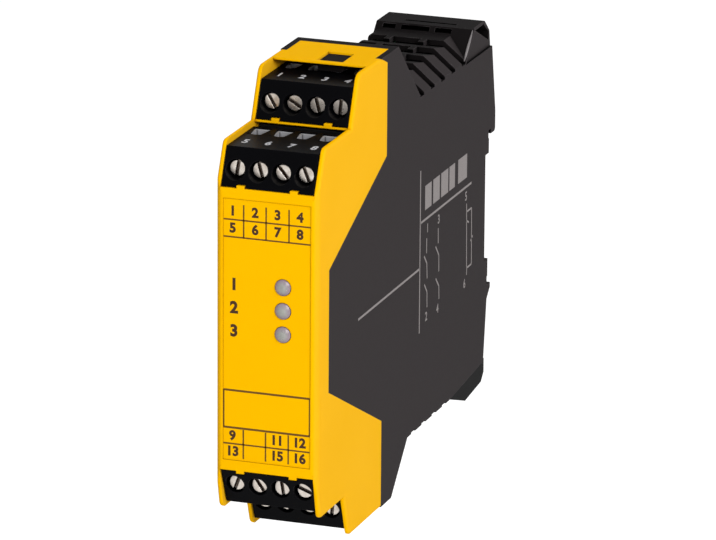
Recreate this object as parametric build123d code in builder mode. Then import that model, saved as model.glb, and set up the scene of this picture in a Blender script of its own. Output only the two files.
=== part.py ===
from build123d import *
from math import cos, pi, sin
import os

# Safety relay for a 35 mm mounting rail, in millimetres.
# +Y points at the rail, +Z up, +X to the right as seen from the front.
# The origin is on the rail's centre line, in the plane of the two rail seats.

# Overall form
width = 22.5
front_y = -110.3
roof_z = 51.5
base_z = -47.5
side_wall = 1.0
shell_wall = 1.2
shelf_wall = 0.8
front_edge_radius = 1.5
step_edge_radius = 0.6
part_gap = 0.1

# Front face and the steps that hold the plugs
face_top = 31.8
face_bottom = -29.0
step_rise = 9.1
top_lean = 4.1
top_step_y = -90.0
top_tier_lean = 4.5
bottom_lean = 2.1
bottom_step_y = -93.5
bottom_tier_lean = 3.4
roof_reach = 11.0
edge_lip = 0.4
edge_lead = 3.5
field_width = 19.2
field_margin = 2.2
field_depth = 0.15
step_corner_radius = 1.6
roof_corner_radius = 2.4

# Edge where the yellow cover meets the base housing
split_rear_y = -68.3
split_low_rear_y = -70.4
split_setback = 6.6
split_top_z = 29.6
split_upper_z = 14.4
split_lower_z = -12.0
split_bottom_z = -28.2
roof_notch_length = 3.8
roof_notch_height = 1.7
tongue_length = 4.5
tongue_width = 19.6
lap_length = 2.5
lap_root = 2.0
lap_wall = 0.9

# Rear half of the base housing
roof_margin = 7.3
deck_z = 41.6
deck_edge_radius = 1.2
block_front_y = -12.6
block_top_z = 43.1
block_rear_y = -2.6
block_corner_radius = 1.2
block_groove_y = -8.4
block_groove_width = 0.9
block_groove_depth = 0.5
block_groove_ends = (-5.6, 6.2)
hook_top_z = 40.1
hook_top_y = 0.8
hook_rear_y = 4.2
hook_bend_rise = 3.4
hook_tip_drop = 1.1
hook_tip_radius = 0.8
belly_drop = 2.1
belly_margin = 18.7
heel_drop = 17.3
heel_y = -2.2
heel_front_y = -25.7
chamfer_x = 6.2
chamfer_z = 37.4
block_side_inset = 0.5
block_side_border = 1.0
block_side_drop = 0.9
corner_pocket_depth = 3.4
corner_pocket_length = 6.6
corner_pocket_wall = 0.7

# Rail slot: the rail's edges, the hook's lip and the two seats
rail_height = 35.0
rail_play = 0.2
lip_gap = 1.2
upper_seat_height = 5.2
lower_seat_height = 6.0
seat_relief = 2.3
edge_relief = 0.4
edge_relief_height = 1.9
stop_rear_y = 1.9
stop_height = 1.1
stop_run = 2.2

# Louvres in the deck and in the belly
louvre_first_y = -18.2
louvre_pitch = 6.85
louvre_count = 5
louvre_width = 2.6
louvre_tilt = 0.8
louvre_depth = 1.9
louvre_bars = (-6.0, 1.8)
louvre_bar_width = 1.3
louvre_low_end = 36.8
face_louvre_width = 0.9
face_louvre_ends = (-9.6, 6.2)
belly_louvre_first_y = -29.0
belly_louvre_count = 4
belly_louvre_ends = (-9.2, 9.2)
belly_groove = 0.35

# Plugs, four poles each
pole_count = 4
pole_pitch = 5.0
plug_width = 20.0
plug_height = 7.8
plug_length = 21.5
plug_lean = 3.2
plug_gap = 0.2
nose_length = 2.6
nose_step = 0.7
screw_z = 3.3
screw_bore = 4.2
head_diameter = 3.3
head_height = 1.6
head_recess = 1.5
head_slot = 0.75
head_slot_depth = 0.7
head_slot_angles = {
    "top_front": (100, 75, 50, 68),
    "top_rear": (60, 30, 75, 95),
    "bottom_front": (20, 80, 55, 110),
    "bottom_rear": (95, 40, 70, 15),
}
shank_diameter = 2.0
shank_flats = 12
shank_reach = 3.8
funnel_radius = 2.0
funnel_length = 5.4
funnel_margin = 3.1
chamber_width = 4.0
chamber_bottom = 1.0
chamber_top = 6.6
key_x = 5.8
key_width = 1.7
key_height = 0.6
key_length = 1.4
key_gap = 0.25

# Clamp cages and contact sockets inside a plug
cage_gap = 0.15
cage_front_wall = 1.8
cage_wall = 0.8
collar_wall = 0.45
collar_top = 7.5
thread_gap = 0.05
socket_width = 2.8
socket_height = 3.0
socket_gap = 0.2

# Pin headers
pin_size = 1.0
pin_gap = 0.1
pin_reach = 2.6
header_gap = 0.3
header_depth = 2.6
header_inset = 0.2
tail_start = 1.2
tail_pitch = 1.5

# Circuit boards and what they carry
board_thickness = 1.6
board_gap = 0.35
board_edge_gap = 0.6
board_front_y = -100.4
board_rear_y = -7.0
relay_size = (16.0, 42.0, 16.0)
relay_radius = 0.8
relay_places = ((-40.0, 20.0), (-40.0, 1.0))
capacitor_diameter = 10.0
capacitor_height = 14.0
capacitor_places = ((-74.0, 20.0), (-74.0, 8.0))
rectifier_size = (5.0, 8.0, 6.4)
rectifier_place = (-74.0, -8.0)
fuse_diameter = 5.0
fuse_length = 15.0
fuse_place = (-74.0, -19.0)
varistor_diameter = 9.0
varistor_thickness = 4.0
varistor_place = (-75.0, 32.5)
chip_size = (1.8, 10.0, 6.2)
chip_places = ((-92.0, 20.0), (-92.0, 8.0), (-92.0, -4.0), (-40.0, -20.0))

# Status indicators
lens_x = 3.5
lens_pitch = 5.05
lens_middle_z = 6.6
lens_names = ("status_lens_lower", "status_lens_middle", "status_lens_upper")
lens_diameter = 3.4
lens_fit = 0.1
lens_dome = 0.7
led_side = 2.4
led_thickness = 1.0
led_gap = 0.2
indicator_setback = 8.5
indicator_thickness = 1.2
indicator_width = 16.4
indicator_height = 20.0
post_diameter = 2.6
post_inset = 2.0

# Roof window and the snap that shows in it
window_x = 1.7
window_width = 5.8
window_lip = 1.5
window_length = 7.2
snap_gap = 0.25
snap_thickness = 0.8
snap_head_inset = 0.35
snap_root = 3.0

# Rail foot with its latch and spring
foot_side_gap = 0.9
foot_front_y = -24.2
foot_rear_y = 1.0
foot_sole_drop = 4.3
foot_sole_y = -11.8
foot_heel_drop = 3.4
foot_heel_run = 1.8
foot_gap = 0.25
stem_width = 10.0
stem_depth = 3.4
latch_overlap = 1.4
latch_thickness = 1.8
latch_height = 3.6
channel_gap = 0.3
slot_width = 4.6
slot_drop = 4.8
slot_length = 11.7
peg_width = 3.8
peg_drop = 9.0
peg_height = 2.0
peg_inset = 0.4
spring_diameter = 2.9
spring_wire = 0.45
spring_wire_sides = 6
spring_turns = 6
spring_steps = 14

# Sizes worked out from the ones above
half = width / 2
inner = half - side_wall
beyond = 4 * width
seat_edge_z = rail_height / 2 + rail_play
hook_bend_z = seat_edge_z + hook_bend_rise
hook_tip_z = seat_edge_z - hook_tip_drop
heel_z = -seat_edge_z - heel_drop
belly_z = heel_z - belly_drop
roof_rear_y = top_step_y + plug_length + roof_margin
slope_end_y = roof_rear_y + roof_z - deck_z
belly_front_y = bottom_step_y + plug_length + belly_margin
belly_slope_y = belly_front_y - (belly_z - base_z)
split_front_y = front_y + split_setback
tongue_rear_y = split_rear_y + tongue_length
top_shelf_z = face_top + step_rise
bottom_shelf_z = face_bottom - step_rise
chamfer_drop = deck_z - chamfer_z
pole_xs = [(i - (pole_count - 1) / 2) * pole_pitch for i in range(pole_count)]
board_x = -inner + board_gap
board_face_x = board_x + board_thickness
header_y = plug_length + header_gap
funnel_rear = plug_length - funnel_margin
funnel_front = funnel_rear - funnel_length
shank_end = funnel_front + shank_reach
pin_z = (chamber_bottom + chamber_top) / 2
indicator_front_y = front_y + indicator_setback
slot_top_z = -seat_edge_z - slot_drop
slot_bottom_z = slot_top_z - slot_length
peg_top_z = slot_top_z - peg_drop
foot_sole_z = belly_z - foot_sole_drop
foot_heel_z = heel_z - foot_heel_drop
lens_zs = [lens_middle_z + (i - 1) * lens_pitch for i in range(len(lens_names))]

os.makedirs("parts", exist_ok=True)


def save(solid, name):
    solid.label = name
    export_step(solid, f"parts/{name}.step")


def side_prism(points, x_from, x_to):
    # a prism along X from (y, z) points
    with BuildPart() as prism:
        with BuildSketch(Plane.YZ.offset(x_from)):
            with BuildLine():
                Polyline(*points, close=True)
            make_face()
        extrude(amount=x_to - x_from)
    return prism.part


def front_prism(points, y_from, y_to):
    # a prism along Y from (x, z) points
    with BuildPart() as prism:
        with BuildSketch(Plane.XZ.offset(-y_to)):
            with BuildLine():
                Polyline(*points, close=True)
            make_face()
        extrude(amount=y_to - y_from)
    return prism.part


def block(x_range, y_range, z_range, mode=Mode.ADD):
    # a box between limits, in the part that is being built
    ranges = (x_range, y_range, z_range)
    with Locations(tuple((low + high) / 2 for low, high in ranges)):
        Box(*(high - low for low, high in ranges), mode=mode)


def around(middle, size):
    return (middle - size / 2, middle + size / 2)


from_base = (Align.CENTER, Align.CENTER, Align.MIN)


# Side view of the whole device, as (y, z) points
silhouette_points = [
    (front_y, face_bottom),
    (front_y, face_top),
    (front_y + top_lean, top_shelf_z),
    (top_step_y, top_shelf_z),
    (top_step_y + top_tier_lean, roof_z),
    (roof_rear_y, roof_z),
    (slope_end_y, deck_z),
    (block_front_y, deck_z),
    (block_front_y + block_top_z - deck_z, block_top_z),
    (block_rear_y, block_top_z),
    (hook_top_y, hook_top_z),
    (hook_rear_y, hook_bend_z),
    (hook_rear_y, hook_tip_z),
    (lip_gap, hook_tip_z),
    (lip_gap, seat_edge_z),
    (-edge_relief, seat_edge_z),
    (-edge_relief, seat_edge_z - edge_relief_height),
    (0, seat_edge_z - edge_relief_height),
    (0, seat_edge_z - upper_seat_height),
    (-seat_relief, seat_edge_z - upper_seat_height),
    (-seat_relief, lower_seat_height - seat_edge_z),
    (0, lower_seat_height - seat_edge_z),
    (0, edge_relief_height - seat_edge_z),
    (-edge_relief, edge_relief_height - seat_edge_z),
    (-edge_relief, -seat_edge_z),
    (stop_rear_y, -seat_edge_z),
    (stop_rear_y, -seat_edge_z - stop_height),
    (stop_rear_y - stop_run, -seat_edge_z - stop_height - stop_run),
    (heel_y, heel_z),
    (heel_front_y, belly_z),
    (belly_front_y, belly_z),
    (belly_slope_y, base_z),
    (bottom_step_y + bottom_tier_lean, base_z),
    (bottom_step_y, bottom_shelf_z),
    (front_y + bottom_lean, bottom_shelf_z),
]
silhouette_roundings = [
    (front_y + top_lean, top_shelf_z, step_corner_radius),
    (top_step_y + top_tier_lean, roof_z, roof_corner_radius),
    (block_rear_y, block_top_z, block_corner_radius),
    (hook_rear_y, hook_tip_z, hook_tip_radius),
    (front_y + bottom_lean, bottom_shelf_z, step_corner_radius),
    (bottom_step_y + bottom_tier_lean, base_z, step_corner_radius),
]

with BuildPart() as envelope:
    with BuildSketch(Plane.YZ.offset(-half)) as silhouette:
        with BuildLine():
            Polyline(*silhouette_points, close=True)
        make_face()
        for corner_y, corner_z, radius in silhouette_roundings:
            corner = silhouette.vertices().sort_by_distance((corner_y, corner_z, 0))[0]
            fillet(corner, radius)
    extrude(amount=width)

# Space of the yellow cover, in front of its rear edge
cover_space = side_prism(
    [
        (split_rear_y - roof_notch_length, roof_z + beyond),
        (split_rear_y - roof_notch_length, roof_z),
        (split_rear_y, roof_z - roof_notch_height),
        (split_rear_y, split_top_z),
        (split_front_y, split_upper_z),
        (split_front_y, split_lower_z),
        (split_low_rear_y, split_bottom_z),
        (split_low_rear_y, base_z - beyond),
        (front_y - beyond, base_z - beyond),
        (front_y - beyond, roof_z + beyond),
    ],
    -beyond,
    beyond,
)


def deck_wedge(sink):
    # what the chamfer takes off the deck's right edge, or, sunk by a wall, off the room inside
    slope = chamfer_drop / (half - chamfer_x)
    drop = sink * (1 + slope**2) ** 0.5
    low_z = chamfer_z - drop
    run = deck_z - low_z
    side = [
        (slope_end_y - sink, deck_z),
        (slope_end_y - sink + run, low_z),
        (block_front_y + sink - run, low_z),
        (block_front_y + sink, deck_z),
    ]
    triangle = [(half, low_z), (half, deck_z), (chamfer_x - drop / slope, deck_z)]
    with BuildPart() as wedge:
        add(side_prism(side, -half, half))
        add(front_prism(triangle, -beyond * 2, beyond), mode=Mode.INTERSECT)
    return wedge.part


# Room inside the shell, one wall in from the silhouette
room_points = [
    (front_y + shell_wall, face_bottom),
    (front_y + shell_wall, face_top),
    (front_y + top_lean + shell_wall, top_shelf_z - shell_wall),
    (top_step_y + shell_wall, top_shelf_z - shell_wall),
    (top_step_y + top_tier_lean + shell_wall, roof_z - shell_wall),
    (roof_rear_y - shell_wall / 2, roof_z - shell_wall),
    (slope_end_y - shell_wall / 2, deck_z - shell_wall),
    (hook_top_y - shell_wall, deck_z - shell_wall),
    (hook_rear_y - shell_wall, hook_bend_z),
    (hook_rear_y - shell_wall, seat_edge_z + shell_wall),
    (-seat_relief - shell_wall, seat_edge_z + shell_wall),
    (-seat_relief - shell_wall, heel_z + shell_wall),
    (heel_front_y, belly_z + shell_wall),
    (belly_front_y - shell_wall / 2, belly_z + shell_wall),
    (belly_slope_y - shell_wall / 2, base_z + shell_wall),
    (bottom_step_y + bottom_tier_lean + shell_wall, base_z + shell_wall),
    (bottom_step_y + shell_wall, bottom_shelf_z + shell_wall),
    (front_y + bottom_lean + shell_wall, bottom_shelf_z + shell_wall),
]
with BuildPart() as room:
    add(side_prism(room_points, -inner, inner))
    add(deck_wedge(shell_wall), mode=Mode.SUBTRACT)

# Louvres: each row is cut in three spans, the right one runs down the chamfer
bar_edges = [(x - louvre_bar_width / 2, x + louvre_bar_width / 2) for x in louvre_bars]
louvre_floor_z = deck_z - louvre_depth
left_span = (-beyond, bar_edges[0][0])
middle_span = (bar_edges[0][1], bar_edges[1][0])


def spans_between(ends):
    return [(ends[0], bar_edges[0][0]), middle_span, (bar_edges[1][1], ends[1])]


right_span_points = [
    (bar_edges[1][1], deck_z + louvre_depth),
    (bar_edges[1][1], louvre_floor_z),
    (chamfer_x - louvre_depth / 2, louvre_floor_z),
    (inner, louvre_low_end),
    (half + louvre_depth, louvre_low_end),
    (half + louvre_depth, deck_z + louvre_depth),
]


def on_left_deck_edge(edge):
    middle = edge.center()
    level = abs(middle.Z - deck_z) < part_gap and abs(middle.X + half) < part_gap
    return level and slope_end_y < middle.Y < block_front_y


# Base housing: black shell with louvres, rail hook, rail seats and the foot's channel
channel_half = stem_width / 2 + channel_gap
channel_floor_y = heel_y - stem_depth - channel_gap
channel_top_z = channel_gap - seat_edge_z
snap_top_z = roof_z - shell_wall - snap_gap
snap_front_y = top_step_y + roof_reach + window_lip
with BuildPart() as base_housing:
    add(envelope.part)
    add(deck_wedge(0), mode=Mode.SUBTRACT)
    fillet(base_housing.edges().filter_by(on_left_deck_edge), deck_edge_radius)
    add(room.part, mode=Mode.SUBTRACT)
    add(cover_space, mode=Mode.SUBTRACT)
    # recess for the tongue of the cover's roof
    block(
        around(0, tongue_width + 2 * part_gap),
        (split_rear_y - roof_notch_length, tongue_rear_y + part_gap),
        (roof_z - shell_wall, roof_z + shell_wall),
        Mode.SUBTRACT,
    )
    # laps that lie inside the cover's side panels
    for side in (-1, 1):
        outer_x = side * inner
        lap_x = side * (inner - part_gap)
        deep_x = side * (inner - lap_wall)
        block(
            tuple(sorted((outer_x, deep_x))),
            (split_front_y, split_front_y + lap_root),
            (split_lower_z, split_upper_z),
        )
        block(
            tuple(sorted((lap_x, deep_x))),
            (split_front_y - lap_length, split_front_y),
            (split_lower_z, split_upper_z),
        )
    # snap finger under the roof, its head stands in the cover's window
    snap_x = around(window_x, window_width - 2 * snap_gap)
    block(
        snap_x,
        (snap_front_y + snap_gap, tongue_rear_y + snap_root),
        (snap_top_z - snap_thickness, snap_top_z),
    )
    block(
        snap_x,
        (tongue_rear_y + 2 * part_gap, tongue_rear_y + snap_root),
        (snap_top_z - snap_thickness, roof_z - shell_wall / 2),
    )
    block(
        snap_x,
        (snap_front_y + snap_gap, snap_front_y + window_length - snap_gap),
        (snap_top_z - snap_thickness, roof_z - snap_head_inset),
    )
    # louvres in the deck, and one row in the sloping face of the rear block
    for row in range(louvre_count):
        row_y = louvre_first_y - row * louvre_pitch
        for span in (left_span, middle_span):
            block(
                span,
                around(row_y, louvre_width),
                (louvre_floor_z, deck_z + louvre_depth),
                Mode.SUBTRACT,
            )
        right_cut = front_prism(right_span_points, *around(row_y, louvre_width))
        add(right_cut, mode=Mode.SUBTRACT)
    # the slats between them fall towards the rear
    for row in range(1, louvre_count):
        slat_front_y = louvre_first_y - row * louvre_pitch + louvre_width / 2
        slat_rear_y = slat_front_y + louvre_pitch - louvre_width
        slat_points = [
            (slat_front_y, deck_z),
            (slat_rear_y, deck_z - louvre_tilt),
            (slat_rear_y, deck_z + louvre_tilt),
            (slat_front_y, deck_z + louvre_tilt),
        ]
        add(side_prism(slat_points, -half, half), mode=Mode.SUBTRACT)
    block_face_y = block_front_y + (block_top_z - deck_z) / 2
    block_face_z = (block_top_z + deck_z) / 2
    for span in spans_between(face_louvre_ends):
        block(
            span,
            (block_face_y - louvre_depth, block_face_y + louvre_depth),
            around(block_face_z, face_louvre_width),
            Mode.SUBTRACT,
        )
    # groove across the rear block's top
    block(
        block_groove_ends,
        around(block_groove_y, block_groove_width),
        (block_top_z - block_groove_depth, block_top_z + block_groove_depth),
        Mode.SUBTRACT,
    )
    # grooves and openings across the belly
    for row in range(belly_louvre_count):
        row_y = belly_louvre_first_y - row * louvre_pitch
        block(
            around(0, 2 * width),
            around(row_y, louvre_width),
            (belly_z - belly_groove, belly_z + belly_groove),
            Mode.SUBTRACT,
        )
        for span in spans_between(belly_louvre_ends):
            block(
                span,
                around(row_y, louvre_width),
                (belly_z - louvre_depth, belly_z + louvre_depth),
                Mode.SUBTRACT,
            )
    # the rear block's right side steps in and has a pocket at its corner
    over_block_z = 2 * block_top_z - deck_z
    inset_points = [
        (block_front_y - chamfer_drop - block_side_drop + block_side_border, chamfer_z - block_side_drop),
        (block_front_y + over_block_z - deck_z + block_side_border, over_block_z),
        (hook_rear_y, over_block_z),
        (hook_rear_y, chamfer_z - block_side_drop),
    ]
    block_side = side_prism(inset_points, half - block_side_inset, half + side_wall)
    add(block_side, mode=Mode.SUBTRACT)
    pocket_top_z = block_top_z - corner_pocket_wall
    pocket_points = [
        (block_rear_y - corner_pocket_length, pocket_top_z),
        (block_rear_y - corner_pocket_wall, pocket_top_z),
        (hook_top_y - corner_pocket_wall, hook_top_z),
        (hook_top_y - corner_pocket_wall, chamfer_z + corner_pocket_wall),
    ]
    corner_pocket = side_prism(pocket_points, half - corner_pocket_depth, half)
    add(corner_pocket, mode=Mode.SUBTRACT)
    # channel for the foot's stem, open at the rear and below
    block(
        around(0, 2 * channel_half + 2 * shell_wall),
        (channel_floor_y - shell_wall, heel_y - channel_gap),
        (heel_z, channel_top_z + shell_wall),
    )
    block(
        around(0, 2 * channel_half),
        (channel_floor_y, hook_rear_y),
        (foot_sole_z, channel_top_z),
        Mode.SUBTRACT,
    )
    # peg that carries the foot's spring
    block(
        around(0, peg_width),
        (channel_floor_y, heel_y - peg_inset),
        (peg_top_z - peg_height, peg_top_z),
    )

save(base_housing.part, "base_housing")


# Front cover: yellow shell with two steps at the top and two at the bottom
def stepped(side):
    # limits of one end of the cover, with z counted up at the top and down at the bottom
    if side > 0:
        return face_top, top_step_y, roof_z
    return -face_bottom, bottom_step_y, -base_z


def sided(side, low, high):
    return tuple(sorted((side * low, side * high)))


def on_step_edge(edge):
    # the outline's side edges along the steps and the roof
    middle = edge.center()
    on_side = abs(abs(middle.X) - half) < part_gap
    in_front = middle.Y < split_rear_y - roof_notch_length
    in_steps = not split_bottom_z < middle.Z < split_top_z
    return on_side and in_front and in_steps


with BuildPart() as front_cover:
    add(envelope.part)
    add(cover_space, mode=Mode.INTERSECT)
    front_edges = front_cover.edges().filter_by(Axis.Z).group_by(Axis.Y)[0]
    fillet(front_edges, front_edge_radius)
    fillet(front_cover.edges().filter_by(on_step_edge), step_edge_radius)
    add(room.part, mode=Mode.SUBTRACT)
    # tongue that reaches back into the housing's roof
    block(
        around(0, tongue_width),
        (split_rear_y - 2 * roof_notch_length, tongue_rear_y),
        (roof_z - shell_wall, roof_z),
    )
    for side in (-1, 1):
        face_z, step_y, end_z = stepped(side)
        shelf_z = face_z + step_rise
        # plug bays, open to the front and above
        for bay_y, floor_z, ceiling_z, mouth_y, top_z in (
            (front_y, face_z, shelf_z - shelf_wall, step_y, end_z + shelf_wall),
            (step_y, shelf_z, end_z - shell_wall, step_y + roof_reach, end_z + shelf_wall),
        ):
            deep_y = bay_y + plug_gap + plug_length
            block(
                around(0, 2 * inner),
                (bay_y - step_rise, deep_y),
                sided(side, floor_z, ceiling_z),
                Mode.SUBTRACT,
            )
            block(
                around(0, 2 * inner),
                (bay_y - step_rise, mouth_y),
                sided(side, floor_z, top_z),
                Mode.SUBTRACT,
            )
        # the roof thins towards its front edge
        roof_front_y = step_y + roof_reach
        lead_points = [
            (roof_front_y, side * (end_z - shell_wall)),
            (roof_front_y, side * (end_z - edge_lip)),
            (roof_front_y + edge_lead, side * (end_z - shell_wall)),
        ]
        add(side_prism(lead_points, -inner, inner), mode=Mode.SUBTRACT)
        # shelves that carry the plugs, with two keys each
        for bay_y, floor_z in ((front_y, face_z), (step_y, shelf_z)):
            block(
                around(0, 2 * inner),
                (bay_y, bay_y + plug_gap + plug_length),
                sided(side, floor_z - shelf_wall, floor_z),
            )
            for key_side in (-1, 1):
                block(
                    around(key_side * key_x, key_width),
                    (bay_y, bay_y + key_length),
                    sided(side, floor_z, floor_z + key_height),
                )
        # the rear shelf thins towards its front edge too
        shelf_lead_points = [
            (step_y, side * (shelf_z - shelf_wall)),
            (step_y, side * (shelf_z - edge_lip)),
            (step_y + edge_lead, side * (shelf_z - shelf_wall)),
        ]
        add(side_prism(shelf_lead_points, -inner, inner), mode=Mode.SUBTRACT)
    # shallow field for the marks on the front
    block(
        around(0, field_width),
        (front_y - field_depth, front_y + field_depth),
        (face_bottom + field_margin, face_top - field_margin),
        Mode.SUBTRACT,
    )
    # bores for the lenses, and posts that carry the indicator board
    for lens_z in lens_zs:
        with Locations(Location((lens_x, front_y, lens_z), (-90, 0, 0))):
            Cylinder(lens_diameter / 2 + lens_fit, 2 * shell_wall, mode=Mode.SUBTRACT)
    post_length = indicator_front_y - front_y - shell_wall
    for post_x in around(0, indicator_width - 2 * post_inset):
        for post_z in around(lens_middle_z, indicator_height - 2 * post_inset):
            with Locations(Location((post_x, indicator_front_y, post_z), (90, 0, 0))):
                Cylinder(post_diameter / 2, post_length, align=from_base)
    # window for the snap
    block(
        around(window_x, window_width),
        (snap_front_y, snap_front_y + window_length),
        (roof_z - 2 * shell_wall, roof_z + shell_wall),
        Mode.SUBTRACT,
    )

save(front_cover.part, "front_cover")


def shank(pole_x, diameter, y_from, y_to):
    # a terminal screw's shank or the hole for it, with flats in place of the thread
    with BuildPart() as rod:
        with BuildSketch(Plane.XZ.offset(-y_to)):
            with Locations((pole_x, screw_z)):
                RegularPolygon(diameter / 2, shank_flats)
        extrude(amount=y_to - y_from)
    return rod.part


# Plug housing in its own frame: x along the poles, y inwards, z up, origin at the front lower edge
nose_y = plug_length - nose_length
head_y = plug_lean * screw_z / plug_height + head_recess
with BuildPart() as plug_housing:
    plug_points = [
        (0, 0),
        (plug_lean, plug_height),
        (nose_y, plug_height),
        (nose_y, plug_height - nose_step),
        (plug_length, plug_height - nose_step),
        (plug_length, nose_step),
        (nose_y, nose_step),
        (nose_y, 0),
    ]
    add(side_prism(plug_points, -plug_width / 2, plug_width / 2))
    # wire funnels, round in front and flat behind
    with BuildSketch(Plane.XY.offset(chamber_bottom)):
        for pole_x in pole_xs:
            with Locations((pole_x, funnel_front + funnel_radius)):
                Circle(funnel_radius)
            with Locations((pole_x, (funnel_front + funnel_radius + funnel_rear) / 2)):
                Rectangle(2 * funnel_radius, funnel_rear - funnel_front - funnel_radius)
    extrude(amount=plug_height, mode=Mode.SUBTRACT)
    for pole_x in pole_xs:
        # chamber for the clamp and the contact, open at the nose
        block(
            around(pole_x, chamber_width),
            (funnel_front - cage_gap, plug_length + nose_step),
            (chamber_bottom, chamber_top),
            Mode.SUBTRACT,
        )
        # bores for the screw's head and shank
        with Locations(Location((pole_x, 0, screw_z), (-90, 0, 0))):
            Cylinder(screw_bore / 2, head_y + head_height + cage_gap, align=from_base, mode=Mode.SUBTRACT)
        add(shank(pole_x, shank_diameter + 2 * cage_gap, 0, funnel_front), mode=Mode.SUBTRACT)
    # grooves that clear the shelf's keys
    for side in (-1, 1):
        block(
            around(side * key_x, key_width + 2 * key_gap),
            (-nose_step, plug_length + nose_step),
            (-key_height, key_height - plug_gap + key_gap),
            Mode.SUBTRACT,
        )


# Terminal screws with slotted heads, one for each pole
def clamp_screws(slot_angles):
    with BuildPart() as screws:
        for pole_x in pole_xs:
            with Locations(Location((pole_x, head_y, screw_z), (-90, 0, 0))):
                Cylinder(head_diameter / 2, head_height, align=from_base)
            add(shank(pole_x, shank_diameter, head_y + head_height, shank_end))
        for pole_x, slot_angle in zip(pole_xs, slot_angles):
            with Locations(Location((pole_x, head_y, screw_z), (0, slot_angle, 0))):
                Box(2 * head_diameter, 2 * head_slot_depth, head_slot, mode=Mode.SUBTRACT)
    return screws.part


# Clamp cages: a frame round the wire with a collar that lines the funnel
with BuildPart() as clamp_cages:
    cage_bottom = chamber_bottom + cage_gap
    cage_top = chamber_top - cage_gap
    for pole_x in pole_xs:
        block(
            around(pole_x, chamber_width - 2 * cage_gap),
            (funnel_front, funnel_rear),
            (cage_bottom, cage_top),
        )
        block(
            around(pole_x, chamber_width - 2 * cage_gap - 2 * cage_wall),
            (funnel_front + cage_front_wall, funnel_rear - cage_wall),
            (cage_bottom, cage_top),
            Mode.SUBTRACT,
        )
        collar_front = funnel_front + funnel_radius
        collar_rear = funnel_rear - cage_gap
        block(
            around(pole_x, chamber_width - 2 * cage_gap),
            (collar_front, collar_rear),
            (cage_top, collar_top),
        )
        block(
            around(pole_x, chamber_width - 2 * cage_gap - 2 * collar_wall),
            (collar_front, collar_rear - collar_wall),
            (cage_bottom + cage_wall, collar_top),
            Mode.SUBTRACT,
        )
        hole_end = funnel_front + cage_front_wall + thread_gap
        cage_hole = shank(pole_x, shank_diameter + 2 * thread_gap, funnel_front, hole_end)
        add(cage_hole, mode=Mode.SUBTRACT)

# Contact sockets behind the cages, each with a square hole for its pin
with BuildPart() as contact_sockets:
    for pole_x in pole_xs:
        socket_y = (funnel_rear + socket_gap, plug_length - socket_gap)
        block(around(pole_x, socket_width), socket_y, around(pin_z, socket_height))
        hole = around(0, pin_size + 2 * pin_gap)
        block(
            tuple(pole_x + edge for edge in hole),
            socket_y,
            tuple(pin_z + edge for edge in hole),
            Mode.SUBTRACT,
        )

# Pin header behind a plug
with BuildPart() as header:
    block(
        around(0, plug_width - 2 * header_inset),
        (header_y, header_y + header_depth),
        (header_inset, plug_height - header_inset),
    )
    for pole_x in pole_xs:
        block(
            around(pole_x, pin_size + pin_gap),
            (header_y, header_y + header_depth),
            around(pin_z, pin_size + pin_gap),
            Mode.SUBTRACT,
        )


# Header pins: straight through the header, then across to the board's face
def header_pins(board_side):
    by_distance = sorted(pole_xs, key=lambda pole_x: -board_side * pole_x)
    with BuildPart() as pins:
        for rank, pole_x in enumerate(by_distance):
            tail_y = header_y + header_depth + tail_start + rank * tail_pitch
            block(
                around(pole_x, pin_size),
                (plug_length - pin_reach, tail_y + pin_size / 2),
                around(pin_z, pin_size),
            )
            block(
                tuple(sorted((pole_x, -board_side * board_face_x))),
                around(tail_y, pin_size),
                around(pin_z, pin_size),
            )
    return pins.part


# The four plugs: the lower two are the same parts turned over
plug_frames = {
    "top_front": Plane(origin=(0, front_y + plug_gap, face_top + plug_gap)),
    "top_rear": Plane(origin=(0, top_step_y + plug_gap, top_shelf_z + plug_gap)),
    "bottom_front": Plane(
        origin=(0, front_y + plug_gap, face_bottom - plug_gap), x_dir=(-1, 0, 0), z_dir=(0, 0, -1)
    ),
    "bottom_rear": Plane(
        origin=(0, bottom_step_y + plug_gap, bottom_shelf_z - plug_gap), x_dir=(-1, 0, 0), z_dir=(0, 0, -1)
    ),
}
for place, frame in plug_frames.items():
    board_side = -frame.x_dir.X
    save(frame.from_local_coords(plug_housing.part), f"plug_{place}")
    save(frame.from_local_coords(clamp_screws(head_slot_angles[place])), f"clamp_screws_{place}")
    save(frame.from_local_coords(clamp_cages.part), f"clamp_cages_{place}")
    save(frame.from_local_coords(contact_sockets.part), f"contact_sockets_{place}")
    save(frame.from_local_coords(header.part), f"pin_header_{place}")
    save(frame.from_local_coords(header_pins(board_side)), f"header_pins_{place}")

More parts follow.
